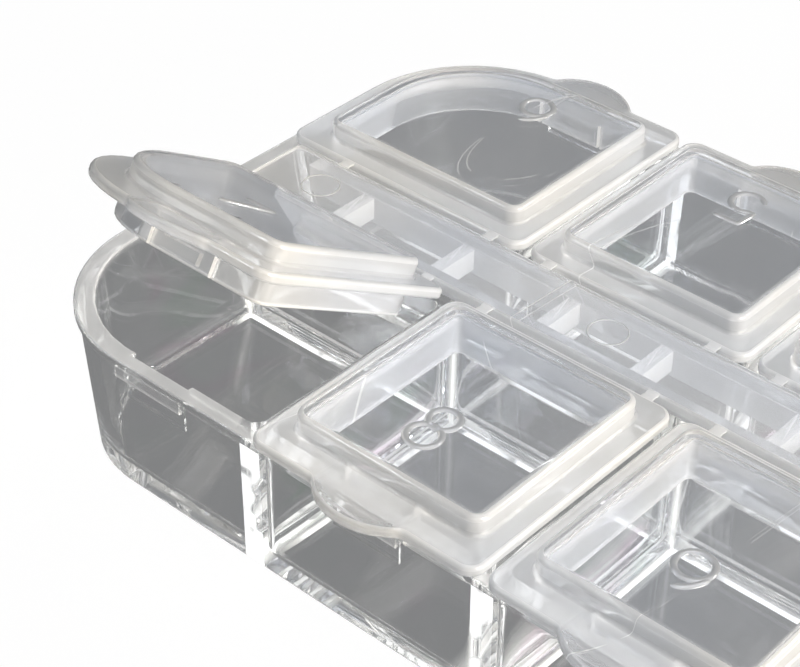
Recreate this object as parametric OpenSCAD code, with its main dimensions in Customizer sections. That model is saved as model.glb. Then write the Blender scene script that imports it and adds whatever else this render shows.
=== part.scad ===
// Bead organizer with twelve lidded compartments in two rows of six.
// A clear tray with a central channel carries one milky lid moulding: a spine that drops into the
// channel, and a lid on two thin film straps over each compartment.
// Frame: origin under the middle of the tray, X along the rows, Y across them, Z up.

/* [Tray] */
// Centre distance between neighbouring dividers
pitch = 20.3; // [17:0.1:28]
// From the outermost divider's centre to the end of the rim
end_reach = 24.5; // [22.5:0.1:30]
// From the tray's centre line to the outer edge of the rim
row_reach = 25.1; // [22:0.1:34]
// Height of the tray, from its underside to the top of the rim
tray_h = 11.4; // [9:0.1:26]
// Width of the rim's top face
rim_w = 1.6; // [1.4:0.1:2.4]
// Thickness of the rim's ledge
rim_t = 0.7; // [0.5:0.1:1.4]
// Radius of the rim's four corners
corner_r = 11.5; // [8:0.1:12.5]
// Ledge of the rim beyond the end walls
end_ledge = 0.9; // [0.3:0.05:1]
// Ledge of the rim beyond the long walls
side_ledge = 0.15; // [0:0.05:0.5]
// How far each end wall leans in from the rim to the foot
end_lean = 2; // [0.5:0.1:3]
// How far each long wall leans in from the rim to the foot
side_lean = 0.3; // [0.3:0.05:1]
// Corner radius at the foot
foot_r = 9; // [6:0.1:9.5]
// Rounding under the foot and at the floor's edge
foot_round = 0.3; // [0.3:0.1:1]
// Thickness of the wall at the foot
wall_t = 1.15; // [0.8:0.05:1.4]
// Thickness of the floor
floor_t = 1; // [0.8:0.1:2]
// Thickness of the cross dividers
divider_t = 1.3; // [0.9:0.1:2]
// Width of the channel between the two long inner walls
channel_w = 6.8; // [5.6:0.1:9]
// Thickness of each long inner wall
channel_wall_t = 1; // [0.8:0.1:1.6]

/* [Catch] */
// Length of the catch bar and of the recess behind it
catch_w = 6.4; // [5:0.1:8]
// Height of the catch bar below the rim's ledge
catch_h = 0.65; // [0.5:0.1:1.3]
// Thickness of the bar's ends beside the recess
catch_end_t = 0.3; // [0.2:0.05:0.6]
// How far the catch bar stands out past the rim
catch_out = 0.2; // [0.2:0.05:0.45]
// Depth of the recess in the rim's inner edge at each catch
notch_depth = 0.4; // [0.35:0.05:0.6]
// Height of that recess
notch_h = 3.4; // [3.3:0.1:5]

/* [Lids] */
// Gap between neighbouring lids
lid_gap = 0.6; // [0.4:0.1:1.2]
// Thickness of the lid's flange
flange_t = 0.8; // [0.6:0.05:1]
// Gap between the rim's top and the closed flange
seat_gap = 0.1; // [0.05:0.05:0.3]
// How far the flange reaches past the rim on the long sides
lid_over = 0.5; // [0.2:0.05:0.8]
// How far the flange stays short of the rim's end
lid_short = 0.55; // [0.2:0.05:0.8]
// Small corner radius of the flange
flange_r = 1.3; // [0.6:0.1:2]
// Height of the raised panel above the flange
panel_rise = 1.5; // [0.8:0.1:2.2]
// Thickness of the raised panel
panel_t = 0.7; // [0.5:0.05:1]
// Depth of the skirt below the top of the flange
skirt_depth = 3; // [2:0.1:3.2]
// Thickness of the skirt
skirt_t = 0.6; // [0.45:0.05:0.8]
// Gap from the skirt to the divider and to the long inner wall
skirt_gap = 1.35; // [1:0.05:1.7]
// Gap from the skirt to the outer wall
skirt_gap_out = 0.45; // [0.4:0.05:0.8]
// Gap from the skirt to the end wall
skirt_gap_end = 1.4; // [1.2:0.1:2]
// Small corner radius of the skirt
skirt_r = 1.2; // [0.9:0.1:1.8]
// Width of the thumb tab at the flange
tab_w = 7.7; // [6:0.1:9]
// How far the tab stands out from the flange
tab_out = 1.8; // [1:0.1:3]
// How far an end lid's tab and catch sit from the column's middle, towards the divider
end_tab_shift = 0.5; // [0:0.1:2]
// Upward tilt of the tab in degrees
tab_lift = 4; // [0:1:15]
// Width of the snap bump
bump_w = 3.8; // [2.5:0.1:4.6]
// Height of the snap bump
bump_h = 1.1; // [0.6:0.1:1.2]
// How far the snap bump stands out
bump_out = 0.3; // [0.15:0.05:0.35]
// Distance between the two slits beside the bump
slit_span = 6; // [5.2:0.1:6.4]
// Width of each slit
slit_w = 0.3; // [0.2:0.05:0.5]
// Angle at which lid seven stands open in degrees
open_angle = 31; // [5:1:80]

/* [Spine] */
// Gap that the film straps bridge
hinge_gap = 0.6; // [0.5:0.05:0.8]
// Gap between the spine's ends and the rim
spine_end_gap = 0.6; // [0.3:0.1:1.2]
// Width of a film strap
strap_w = 1; // [0.6:0.1:1.6]
// From a divider's centre to the nearest strap's centre
strap_in = 2.8; // [2.2:0.1:4]
// Thickness of the film
film_t = 0.2; // [0.15:0.05:0.3]
// Width of the two long rails under the spine
rail_w = 1.4; // [0.8:0.05:1.8]
// Depth of the rails below the spine
rail_depth = 2.4; // [1.5:0.1:4]
// Clearance between the rails and the channel
rail_fit = 0.1; // [0.05:0.05:0.3]
// Thickness of the cross ribs between the rails
rib_t = 1.1; // [0.6:0.1:1.6]
// Depth of the cross ribs below the spine
rib_depth = 1.9; // [1:0.1:3]
// Distances of the cross ribs from the middle, on each side of it
rib_places = [4.3, 14.2, 25.6, 33.9, 43.9, 54]; // [3:0.1:56]

/* [Hidden] */
$fn = 48;
columns = 6;
eps = 0.01;
// Outermost divider and the half length of the rim
last_divider = (columns / 2 - 1) * pitch;
half_l = last_divider + end_reach;
// Heights
flange_z = tray_h + seat_gap;
flange_top = flange_z + flange_t;
panel_top = flange_top + panel_rise;
skirt_z = flange_top - skirt_depth;
axis_z = flange_top - film_t / 2;
// Rows: spine edge, hinge axis, lid edge and outer edges, measured from the centre line
spine_half = channel_w / 2;
axis_y = spine_half + hinge_gap / 2;
lid_in = spine_half + hinge_gap;
lid_out = row_reach + lid_over;
bay_in = spine_half + channel_wall_t;
bay_out = row_reach - rim_w;
bay_end = end_reach - rim_w;
lid_end = end_reach - lid_short;

// Eight tangent points of a rectangle whose corners have the radii r, anticlockwise from bottom left
function tangents(x0, y0, x1, y1, r) = [
    [x0, y0 + r[0]], [x0 + r[0], y0], [x1 - r[1], y0], [x1, y0 + r[1]],
    [x1, y1 - r[2]], [x1 - r[2], y1], [x0 + r[3], y1], [x0, y1 - r[3]]];

// Rectangle with four corner radii, made of straight lines and true arcs
module rounded(x0, y0, x1, y1, r) {
    polygon(tangents(x0, y0, x1, y1, r));
    corners = [[x0, y0], [x1, y0], [x1, y1], [x0, y1]];
    for (i = [0:3]) {
        sx = corners[i][0] == x0 ? 1 : -1;
        sy = corners[i][1] == y0 ? 1 : -1;
        translate([corners[i][0] + sx * r[i], corners[i][1] + sy * r[i]])
            intersection() {
                circle(r[i]);
                mirror([sx > 0 ? 0 : 1, 0]) mirror([0, sy > 0 ? 0 : 1])
                    translate([-r[i], -r[i]]) square(r[i]);
            }
    }
}

// Thin level of the whole tray's outline, for the leaning walls
module level(z, half_x, half_y, r) {
    translate([0, 0, z]) linear_extrude(eps)
        rounded(-half_x, -half_y, half_x, half_y, [r, r, r, r], $fn = 32);
}

// Middle of the catch, tab and bump of a column, measured from the divider where its lid starts
function catch_mid(end) = pitch / 2 - (end ? end_tab_shift : 0);
function is_end(c) = c == 0 || c == columns - 1;

// Puts a child, drawn over a rear column that starts at x = 0, over column c of a row
module in_column(c, row) {
    mirror([0, row == "front" ? 1 : 0, 0])
        translate([c == 0 ? -last_divider : (c - columns / 2) * pitch, 0, 0])
            mirror([c == 0 ? 1 : 0, 0, 0]) children();
}

module bays() {
    for (c = [0:columns - 1], row = ["front", "rear"]) {
        in_column(c, row)
            translate([divider_t / 2, bay_in, floor_t])
                cube([is_end(c) ? end_reach : pitch - divider_t, row_reach, tray_h]);
    }
    translate([-half_l, -spine_half, floor_t]) cube([2 * half_l, channel_w, tray_h]);
}

module tray() {
    top_x = half_l - end_ledge;
    top_y = row_reach - side_ledge;
    foot_x = top_x - end_lean;
    foot_y = top_y - side_lean;
    color([0.86, 0.88, 0.9, 0.35])
    difference() {
        union() {
            hull() {
                level(0, foot_x - foot_round, foot_y - foot_round, foot_r - foot_round);
                level(foot_round, foot_x, foot_y, foot_r);
                level(tray_h - rim_t, top_x, top_y, corner_r - end_ledge);
            }
            translate([0, 0, tray_h - rim_t]) linear_extrude(rim_t)
                rounded(-half_l, -row_reach, half_l, row_reach,
                    [corner_r, corner_r, corner_r, corner_r], $fn = 96);
            for (c = [0:columns - 1], row = ["front", "rear"]) in_column(c, row)
                translate([catch_mid(is_end(c)) - catch_w / 2, bay_out + notch_depth, tray_h - rim_t - catch_h])
                    cube([catch_w, rim_w - notch_depth + catch_out, catch_h + rim_t / 2]);
        }
        intersection() {
            hull() {
                level(floor_t, foot_x - wall_t - foot_round, foot_y - wall_t - foot_round,
                    foot_r - wall_t - foot_round);
                level(floor_t + foot_round, foot_x - wall_t, foot_y - wall_t, foot_r - wall_t);
                level(tray_h, half_l - rim_w, bay_out, corner_r - rim_w);
            }
            bays();
        }
        for (c = [0:columns - 1], row = ["front", "rear"]) in_column(c, row)
            translate([catch_mid(is_end(c)) - catch_w / 2 + catch_end_t, bay_out - rim_w, tray_h - notch_h])
                cube([catch_w - 2 * catch_end_t, rim_w + notch_depth, notch_h + eps]);
    }
}

module spine() {
    end_x = half_l - rim_w - spine_end_gap;
    rail_y = spine_half - rail_fit;
    color([0.9, 0.91, 0.92, 0.7]) {
        translate([0, 0, flange_z]) linear_extrude(flange_t)
            rounded(-end_x, -spine_half, end_x, spine_half, [1, 1, 1, 1] * hinge_gap);
        for (side = [-1, 1])
            translate([-end_x + rail_depth, side * (rail_y - rail_w / 2) - rail_w / 2, flange_z - rail_depth])
                cube([2 * (end_x - rail_depth), rail_w, rail_depth + eps]);
        for (place = rib_places, side = [-1, 1])
            translate([side * place - rib_t / 2, -rail_y + rail_w / 2, flange_z - rib_depth])
                cube([rib_t, 2 * rail_y - rail_w, rib_depth + eps]);
    }
}

// Tilts a child about the hinge line of the rear row, up and towards the spine
module swing(angle) {
    translate([0, axis_y, axis_z]) rotate([angle, 0, 0]) translate([0, -axis_y, -axis_z]) children();
}

// Closed lid over a rear column that starts at x = 0; an end lid has one large corner
module lid_shape(end) {
    x1 = end ? lid_end : pitch - lid_gap / 2;
    sx0 = divider_t / 2 + skirt_gap;
    sx1 = end ? bay_end - skirt_gap_end : pitch - sx0;
    sy0 = bay_in + skirt_gap;
    sy1 = bay_out - skirt_gap_out;
    big_flange = end ? corner_r : flange_r;
    big_skirt = end ? corner_r - rim_w - skirt_gap_out : skirt_r;
    inner_r = skirt_r - skirt_t;
    tab_r = (tab_w * tab_w / 4 + tab_out * tab_out) / (2 * tab_out);
    difference() {
        union() {
            // Flange
            translate([0, 0, flange_z]) linear_extrude(flange_t)
                rounded(lid_gap / 2, lid_in, x1, lid_out, [flange_r, flange_r, big_flange, flange_r]);
            // Raised panel and skirt
            translate([0, 0, skirt_z]) linear_extrude(panel_top - skirt_z)
                rounded(sx0, sy0, sx1, sy1, [skirt_r, skirt_r, big_skirt, skirt_r]);
            // Snap bump
            translate([catch_mid(end) - bump_w / 2, sy1 - skirt_t / 2, skirt_z + skirt_t / 2])
                cube([bump_w, skirt_t / 2 + bump_out, bump_h]);
            // Thumb tab
            translate([catch_mid(end), lid_out - flange_t, flange_z]) rotate([tab_lift, 0, 0])
                linear_extrude(flange_t) intersection() {
                    translate([0, flange_t + tab_out - tab_r]) circle(tab_r);
                    translate([-tab_w, 0]) square([2 * tab_w, 2 * tab_out + flange_t]);
                }
        }
        // Hollow under the panel
        translate([0, 0, skirt_z - eps]) linear_extrude(panel_top - panel_t - skirt_z + eps)
            rounded(sx0 + skirt_t, sy0 + skirt_t, sx1 - skirt_t, sy1 - skirt_t,
                [inner_r, inner_r, big_skirt - skirt_t, inner_r]);
        // Slits beside the bump
        for (side = [-1, 1])
            translate([catch_mid(end) + side * slit_span / 2 - slit_w / 2, sy1 - 2 * skirt_t, skirt_z - eps])
                cube([slit_w, 3 * skirt_t, flange_z - skirt_z + eps]);
    }
}

// Lid n in its place: 1 to 6 along the rear row from the right, 7 to 12 along the front from the left
module lid(n) {
    c = n > columns ? n - columns - 1 : columns - n;
    color([0.9, 0.91, 0.92, 0.7]) in_column(c, n > columns ? "front" : "rear")
        swing(n == 7 ? open_angle : 0) lid_shape(is_end(c));
}

// The two film straps of lid n, bent by half a hinge where the lid stands open
module hinge_film(n) {
    c = n > columns ? n - columns - 1 : columns - n;
    color([0.94, 0.95, 0.96, 0.7]) in_column(c, n > columns ? "front" : "rear")
        for (x = [strap_in, pitch - strap_in]) translate([x - strap_w / 2, 0, 0]) {
            translate([0, spine_half, axis_z - film_t / 2]) cube([strap_w, hinge_gap / 2, film_t]);
            translate([0, axis_y, axis_z]) rotate([0, 90, 0]) cylinder(d = film_t, h = strap_w);
            swing(n == 7 ? open_angle : 0)
                translate([0, axis_y, axis_z - film_t / 2]) cube([strap_w, hinge_gap / 2, film_t]);
        }
}

module lid_01() lid(1);
module lid_02() lid(2);
module lid_03() lid(3);
module lid_04() lid(4);
module lid_05() lid(5);
module lid_06() lid(6);
module lid_07() lid(7);
module lid_08() lid(8);
module lid_09() lid(9);
module lid_10() lid(10);
module lid_11() lid(11);
module lid_12() lid(12);
module hinge_film_01() hinge_film(1);
module hinge_film_02() hinge_film(2);
module hinge_film_03() hinge_film(3);
module hinge_film_04() hinge_film(4);
module hinge_film_05() hinge_film(5);
module hinge_film_06() hinge_film(6);
module hinge_film_07() hinge_film(7);
module hinge_film_08() hinge_film(8);
module hinge_film_09() hinge_film(9);
module hinge_film_10() hinge_film(10);
module hinge_film_11() hinge_film(11);
module hinge_film_12() hinge_film(12);

tray();
spine();
lid_01();
lid_02();
lid_03();
lid_04();
lid_05();
lid_06();
lid_07();
lid_08();
lid_09();
lid_10();
lid_11();
lid_12();
hinge_film_01();
hinge_film_02();
hinge_film_03();
hinge_film_04();
hinge_film_05();
hinge_film_06();
hinge_film_07();
hinge_film_08();
hinge_film_09();
hinge_film_10();
hinge_film_11();
hinge_film_12();
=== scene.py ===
# %% [markdown]
# # A twelve-lid bead box in clear and milky plastic
# The real box has two mouldings. The tray is crystal-clear polystyrene, stiff and glassy. The lids
# are one piece of milky polypropylene with a spine down the middle and thin film hinges.
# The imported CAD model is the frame: it fixes every size and every joint. Each visible piece is
# rebuilt here with the small rounds that catch the light, because clear plastic is seen almost
# only by its edges.

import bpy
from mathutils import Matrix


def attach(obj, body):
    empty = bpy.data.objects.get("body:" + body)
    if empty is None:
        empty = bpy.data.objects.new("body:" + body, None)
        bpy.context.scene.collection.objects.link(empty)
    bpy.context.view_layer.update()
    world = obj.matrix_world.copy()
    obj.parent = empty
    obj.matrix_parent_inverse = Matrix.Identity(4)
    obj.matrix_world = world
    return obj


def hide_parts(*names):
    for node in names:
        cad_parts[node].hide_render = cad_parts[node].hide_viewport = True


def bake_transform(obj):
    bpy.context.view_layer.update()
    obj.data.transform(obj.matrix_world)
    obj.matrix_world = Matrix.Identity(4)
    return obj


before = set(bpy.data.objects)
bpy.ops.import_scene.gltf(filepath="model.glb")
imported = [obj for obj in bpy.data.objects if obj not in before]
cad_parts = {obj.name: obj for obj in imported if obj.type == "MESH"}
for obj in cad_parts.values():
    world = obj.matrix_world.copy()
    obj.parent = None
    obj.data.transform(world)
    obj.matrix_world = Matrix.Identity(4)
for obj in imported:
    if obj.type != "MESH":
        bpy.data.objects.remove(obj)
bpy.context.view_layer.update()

# %% [markdown]
# Sizes are written once, in millimetres, and repeat the values of the part's source. The meshes
# are worked out in millimetres too, and turned to metres only when they are handed to Blender.

# %% Sizes in millimetres
import math

import bpy
import numpy as np
from mathutils import Matrix
from mathutils.geometry import delaunay_2d_cdt

MM = 0.001
PITCH, COLUMNS = 20.3, 6
LAST_DIVIDER = 2 * PITCH
HALF_L, ROW_REACH, TRAY_H = 65.1, 25.1, 11.4
CORNER_R, RIM_W, RIM_T = 11.5, 1.6, 0.7
FLOOR_T, DIVIDER_T, BAY_IN, SPINE_HALF = 1.0, 1.3, 4.4, 3.4
CATCH_W, CATCH_H, CATCH_END_T, CATCH_OUT = 6.4, 0.65, 0.3, 0.2
NOTCH_DEPTH, NOTCH_H = 0.4, 3.4
FLANGE_Z, FLANGE_TOP, PANEL_TOP, SKIRT_Z = 11.5, 12.3, 13.8, 9.3
LID_IN, LID_OUT, LID_END = 4.0, 25.6, 23.95
AXIS_Y, AXIS_Z, OPEN_ANGLE = 3.7, 12.2, 31.0
TAB_W, TAB_OUT, TAB_LIFT, END_TAB_SHIFT = 7.7, 1.8, 4.0, 0.5
SLIT_SPAN, SLIT_W = 6.0, 0.3
BUMP_W, BUMP_H, BUMP_OUT = 3.8, 1.1, 0.3
RAIL_W, RAIL_DEPTH, RAIL_FIT = 1.4, 2.4, 0.1
RIB_T, RIB_DEPTH, RIB_PLACES = 1.1, 1.9, (4.3, 14.2, 25.6, 33.9, 43.9, 54.0)
FILM_T, STRAP_W, STRAP_IN = 0.2, 1.0, 2.8
FOOT_R, BAY_FILLET_R, CHANNEL_FILLET_R, BAY_CORNER_R = 0.3, 0.85, 0.8, 0.95
BAY_FOOT_HALF_L, BAY_FOOT_CORNER_R = 61.05, 7.85
# Half length, half width and corner radius of the tray's outside at the heights where it bends.
WALL_HEIGHTS = (0, FOOT_R, TRAY_H - RIM_T, TRAY_H)
WALL_SIZES = ((61.9, 62.2, 64.2, 64.35), (24.35, 24.65, 24.95, 24.99), (8.7, 9.0, 10.6, 10.66))
print("tray", 2 * HALF_L, "by", 2 * ROW_REACH, "by", TRAY_H, "mm")

# %% [markdown]
# A moulded shape is a set of rings. One ring is the outline of the piece at one height, and every
# ring has the same number of points in the same order, so neighbouring rings join with plain
# quads. A rounded edge is a few rings that follow a small arc. This keeps full control over the
# radii, which modelling with a bevel modifier on a triangulated CAD mesh would not.


# %% Outline of a rounded rectangle with shared stations
def arc(cx, cy, r, start, stop, count):
    """Points on a circle: centre + r (cos a, sin a), with a even from start to stop in degrees."""
    a = np.radians(np.linspace(start, stop, count))
    return np.stack([cx + r * np.cos(a), cy + r * np.sin(a)], 1)


def corner_drop(x, x0, x1, left, right):
    """How far a corner arc has left the straight side at x: r - sqrt(r^2 - distance^2)."""
    near = np.clip(x0 + left - x, 0, left)
    far = np.clip(x - (x1 - right), 0, right)
    return left - np.sqrt(left**2 - near**2) + right - np.sqrt(right**2 - far**2)


def outline(box, radii, xs_low, xs_high, grow=0.0, corner=8, side=4, lead=0.05):
    """Closed anticlockwise outline of a rectangle with four corner radii, grown by an offset.
    Both long sides have their points at given x, and a corner arc starts past the last of them."""
    x0, y0, x1, y1 = box[0] - grow, box[1] - grow, box[2] + grow, box[3] + grow
    bl, br, tr, tl = (max(r + grow, 0.02) for r in radii)

    def skip(reach, r):
        return math.degrees(math.asin(min(max(reach + lead, 0.0) / r, 1.0)))

    low = np.stack([xs_low, y0 + corner_drop(xs_low, x0, x1, bl, br)], 1)
    high = np.stack([xs_high, y1 - corner_drop(xs_high, x0, x1, tl, tr)], 1)[::-1]
    t = np.linspace(0, 1, side + 2)[1:-1]
    right = np.stack([np.full(side, x1), y0 + br + t * (y1 - tr - y0 - br)], 1)
    left = np.stack([np.full(side, x0), y1 - tl + t * (y0 + bl - y1 + tl)], 1)
    n = corner + 1
    return np.concatenate([
        low,
        arc(x1 - br, y0 + br, br, -90 + skip(xs_low[-1] - (x1 - br), br), 0, n),
        right,
        arc(x1 - tr, y1 - tr, tr, 0, 90 - skip(xs_high[-1] - (x1 - tr), tr), n),
        high,
        arc(x0 + tl, y1 - tl, tl, 90 + skip(x0 + tl - xs_high[0], tl), 180, n),
        left,
        arc(x0 + bl, y0 + bl, bl, 180, 270 - skip(x0 + bl - xs_low[0], bl), n),
    ])


# %% Rings to a closed mesh
def quads(rings, count, first=0):
    """Corner numbers of the quads between neighbouring closed rings of count points."""
    k = np.arange(rings - 1)[:, None] * count + first
    i, j = np.arange(count), np.roll(np.arange(count), -1)
    return np.stack([k + i, k + j, k + count + j, k + count + i], 2).reshape(-1, 4)


def shell(rings, first=0):
    """Vertices and faces of a closed skin: rings (K, M, 3) joined by quads, with a cap at each
    end. Anticlockwise rings that go up, or down into a pocket, give outward faces."""
    k, m = rings.shape[:2]
    faces = quads(k, m, first).tolist()
    faces.append((first + np.arange(m)[::-1]).tolist())
    faces.append((first + (k - 1) * m + np.arange(m)).tolist())
    return rings.reshape(-1, 3), faces


def flipped(faces):
    return [list(reversed(f)) for f in faces]


def volume(mesh):
    """Signed volume by the divergence theorem: a sixth of a . (b x c), summed over triangles."""
    mesh.calc_loop_triangles()
    co = np.empty(len(mesh.vertices) * 3)
    mesh.vertices.foreach_get("co", co)
    tri = np.empty(len(mesh.loop_triangles) * 3, np.int32)
    mesh.loop_triangles.foreach_get("vertices", tri)
    a, b, c = co.reshape(-1, 3)[tri.reshape(-1, 3)].transpose(1, 0, 2)
    return float(np.einsum("ij,ij->", a, np.cross(b, c)) / 6)


def piece(name, points, faces, body, material, attributes=None, sharp=40.0):
    """Blender object at the origin, its place in its mesh, smooth but for edges over sharp."""
    mesh = bpy.data.meshes.new(name)
    mesh.from_pydata((np.asarray(points) * MM).tolist(), [], faces)
    mesh.validate()
    for key, values in (attributes or {}).items():
        layer = mesh.attributes.new(key, "FLOAT", "POINT")
        layer.data.foreach_set("value", np.asarray(values, np.float32))
    mesh.shade_smooth()
    mesh.set_sharp_from_angle(angle=math.radians(sharp))
    mesh.materials.append(material)
    obj = bpy.data.objects.new(name, mesh)
    bpy.context.scene.collection.objects.link(obj)
    if body:
        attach(obj, body)
    print(f"{name}: {len(faces)} faces, {volume(mesh) * 1e9:.1f} mm3")
    return obj


def in_column(points, column, row):
    """Places points of a rear column that starts at x = 0 over a column of a row; says if the
    result is mirrored, so that its faces have to turn round."""
    p = np.array(points, float)
    mirrored = column == 0
    p[..., 0] = -p[..., 0] - LAST_DIVIDER if mirrored else p[..., 0] + (column - 3) * PITCH
    if row == "front":
        p[..., 1] *= -1
    return p, mirrored != (row == "front")


def is_end(column):
    return column in (0, COLUMNS - 1)


def catch_mid(end):
    """Middle of the catch and of the tab, from the divider at the start of the column."""
    return PITCH / 2 - (END_TAB_SHIFT if end else 0)


# %% [markdown]
# Shader maths reads best as Python. Value wraps one socket, so that `1 - mask` adds a Math node.
# Every other node comes from Material.node, which sets its options first and its inputs next.


# %% Sockets with arithmetic
class Value:
    """A socket of a material with operators. Each operator adds one Math node."""

    def __init__(self, owner, socket):
        self.owner, self.socket = owner, socket

    def math(self, operation, *others, clamp=False):
        made = self.owner.node(
            "ShaderNodeMath", {"operation": operation, "use_clamp": clamp},
            dict(enumerate((self, *others))))
        return self.owner.out(made)

    def __add__(self, other):
        return self.math("ADD", other)

    def __sub__(self, other):
        return self.math("SUBTRACT", other)

    def __mul__(self, other):
        return self.math("MULTIPLY", other)

    def __radd__(self, other):
        return self.math("ADD", other)

    def __rmul__(self, other):
        return self.math("MULTIPLY", other)

    def __rsub__(self, other):
        return self.math("MULTIPLY_ADD", -1.0, other)

    def clamp(self):
        return self.math("ADD", 0.0, clamp=True)


class Material:
    """A node material that is built up by expressions."""

    def __init__(self, name):
        self.data = bpy.data.materials.new(name)
        self.data.use_nodes = True
        self.tree = self.data.node_tree
        self.tree.nodes.clear()

    def node(self, kind, settings=None, inputs=None):
        made = self.tree.nodes.new(kind)
        for key, value in (settings or {}).items():
            if key == "stops":
                ramp = made.color_ramp
                while len(ramp.elements) < len(value):
                    ramp.elements.new(0.5)
                for element, (position, colour) in zip(ramp.elements, value):
                    element.position, element.color = position, (*colour, 1)
            else:
                setattr(made, key, value)
        for key, value in (inputs or {}).items():
            socket = made.inputs[key]
            if isinstance(value, Value):
                self.tree.links.new(value.socket, socket)
            elif isinstance(value, tuple) and len(value) == 3 and socket.type == "RGBA":
                socket.default_value = (*value, 1)
            else:
                socket.default_value = value
        return made

    def out(self, made, key=0):
        return Value(self, made.outputs[key])

    def place(self):
        return self.out(self.node("ShaderNodeTexCoord"), "Object")

    def noise(self, scale, detail=2.0, rough=0.5, stretch=(1, 1, 1), at=(0, 0, 0)):
        where = self.node("ShaderNodeMapping", {}, {
            "Vector": self.place(), "Scale": stretch, "Location": at})
        return self.out(self.node("ShaderNodeTexNoise", {}, {
            "Vector": self.out(where), "Scale": scale, "Detail": detail, "Roughness": rough}))

    def ramp(self, fac, stops):
        made = self.node("ShaderNodeValToRGB", {"stops": stops}, {"Fac": fac})
        return self.out(made)

    def mask(self, fac, low, high):
        made = self.node("ShaderNodeMapRange", {"clamp": True}, {
            "Value": fac, "From Min": low, "From Max": high})
        return self.out(made)

    def mix(self, fac, a, b):
        made = self.node("ShaderNodeMix", {"data_type": "RGBA"}, {"Factor": fac})
        for index, value in ((6, a), (7, b)):
            if isinstance(value, Value):
                self.tree.links.new(value.socket, made.inputs[index])
            else:
                made.inputs[index].default_value = (*value, 1)
        return self.out(made, 2)

    def bump(self, height, distance, strength=1.0):
        return self.out(self.node("ShaderNodeBump", {}, {
            "Height": height, "Distance": distance, "Strength": strength}))

    def shader(self, **inputs):
        names = {key.replace("_", " "): value for key, value in inputs.items()}
        return self.out(self.node("ShaderNodeBsdfPrincipled", {}, names))

    def blend(self, fac, a, b):
        return self.out(self.node("ShaderNodeMixShader", {}, {"Fac": fac, 1: a, 2: b}))

    def lets_lamps_through(self, surface, colour):
        """Lamps reach what is behind: for shadow rays alone the surface is a tinted pane."""
        path = self.out(self.node("ShaderNodeLightPath"), "Is Shadow Ray")
        pane = self.out(self.node("ShaderNodeBsdfTransparent", {}, {"Color": colour}))
        return self.blend(path, surface, pane)

    def finish(self, surface):
        self.node("ShaderNodeOutputMaterial", {}, {"Surface": surface})
        return self.data


# %% [markdown]
# Polystyrene is as clear as window glass and bends light a little more. What shows it is its
# edges: real refraction with many bounces gives part of those, and painted light the rest. The
# slow waves of the moulded surface are a bump a few hundredths of a millimetre deep, and stress
# from the mould leaves faint pink and green patches on the walls across the box, which here tint
# the light that passes through.
#
# Two attributes are painted on the mesh. "stress" says where the patches are. The other says how
# much of the surface shows painted light instead of clear plastic: a painted highlight for the
# light that real edges pipe. Up to 1 it is an even painted sheen, and above 1 it turns into a
# painted chain of glints with dark gaps. This is a painted stand-in. Both looks give off some light
# of their own, the chain far more, so they stay bright in dim light, and they keep their place on
# the box when the view changes, where real reflections would move.


# %% Clear polystyrene
def clear_polystyrene():
    m = Material("clear_polystyrene")
    waves = m.noise(150, 1.0, 0.5, at=(0.3, 0.1, 0.2))
    stress = m.noise(85, 1.0, 0.5, stretch=(1, 1, 2.5), at=(0.7, 0.2, 0.4))
    fringes = m.ramp(stress, [
        (0.36, (0.985, 0.985, 0.985)), (0.43, (0.87, 0.975, 0.89)), (0.48, (0.985, 0.985, 0.985)),
        (0.53, (0.985, 0.985, 0.985)), (0.59, (0.975, 0.82, 0.91)), (0.66, (0.985, 0.985, 0.985))])
    stressed = m.out(m.node("ShaderNodeAttribute", {
        "attribute_type": "GEOMETRY", "attribute_name": "stress"}), "Fac")
    tint = m.mix(stressed, (0.985, 0.985, 0.985), fringes)
    smudge = m.mask(m.noise(120, 4.0, 0.6), 0.5, 0.8)
    clear = m.shader(
        Base_Color=tint, Roughness=smudge * 0.03 + 0.015, IOR=1.59, Transmission_Weight=1.0,
        Normal=m.bump(waves, 0.00002))
    # Painted light: an even painted sheen and a painted chain of glints, both giving off light of
    # their own. Noise breaks the chain into dark gaps and varies the sheen.
    glow_breaks = m.noise(420, 1.0, 0.5, stretch=(0.9, 0.9, 0.9), at=(0.5, 0.8, 0.3))
    painted_sheen = m.shader(
        Base_Color=(0.93, 0.925, 0.915), Roughness=0.2, IOR=1.59, Transmission_Weight=0.3,
        Emission_Color=(1.0, 0.99, 0.97), Emission_Strength=0.08)
    painted_chain = m.shader(
        Base_Color=(0.93, 0.93, 0.925), Roughness=0.25, IOR=1.59,
        Emission_Color=(0.98, 0.99, 1.0), Emission_Strength=0.7)
    frost = m.out(m.node("ShaderNodeAttribute", {
        "attribute_type": "GEOMETRY", "attribute_name": "frost"}), "Fac")
    chain_share = ((frost - 1.0).clamp() * 2.0).clamp()
    dark = (1 - m.mask(glow_breaks, 0.38, 0.45)) * chain_share
    share = frost.clamp() * (m.mask(glow_breaks, 0.3, 0.7) * 0.2 + 0.85) * (1 - dark * 0.85)
    surface = m.blend(share, clear, m.blend(chain_share, painted_sheen, painted_chain))
    return m.finish(m.lets_lamps_through(surface, (0.88, 0.9, 0.9)))


TRAY_MATERIAL = clear_polystyrene()
print("material", TRAY_MATERIAL.name)

# %% [markdown]
# Polypropylene is milky where it is thick or seen edge on, and clears to a light haze in the thin
# window. An attribute painted on the mesh, "milk", says how much of each: it mixes a hazy clear
# shader with a milky one. Fine flow lines and cloudiness vary the colour and the roughness.


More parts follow.
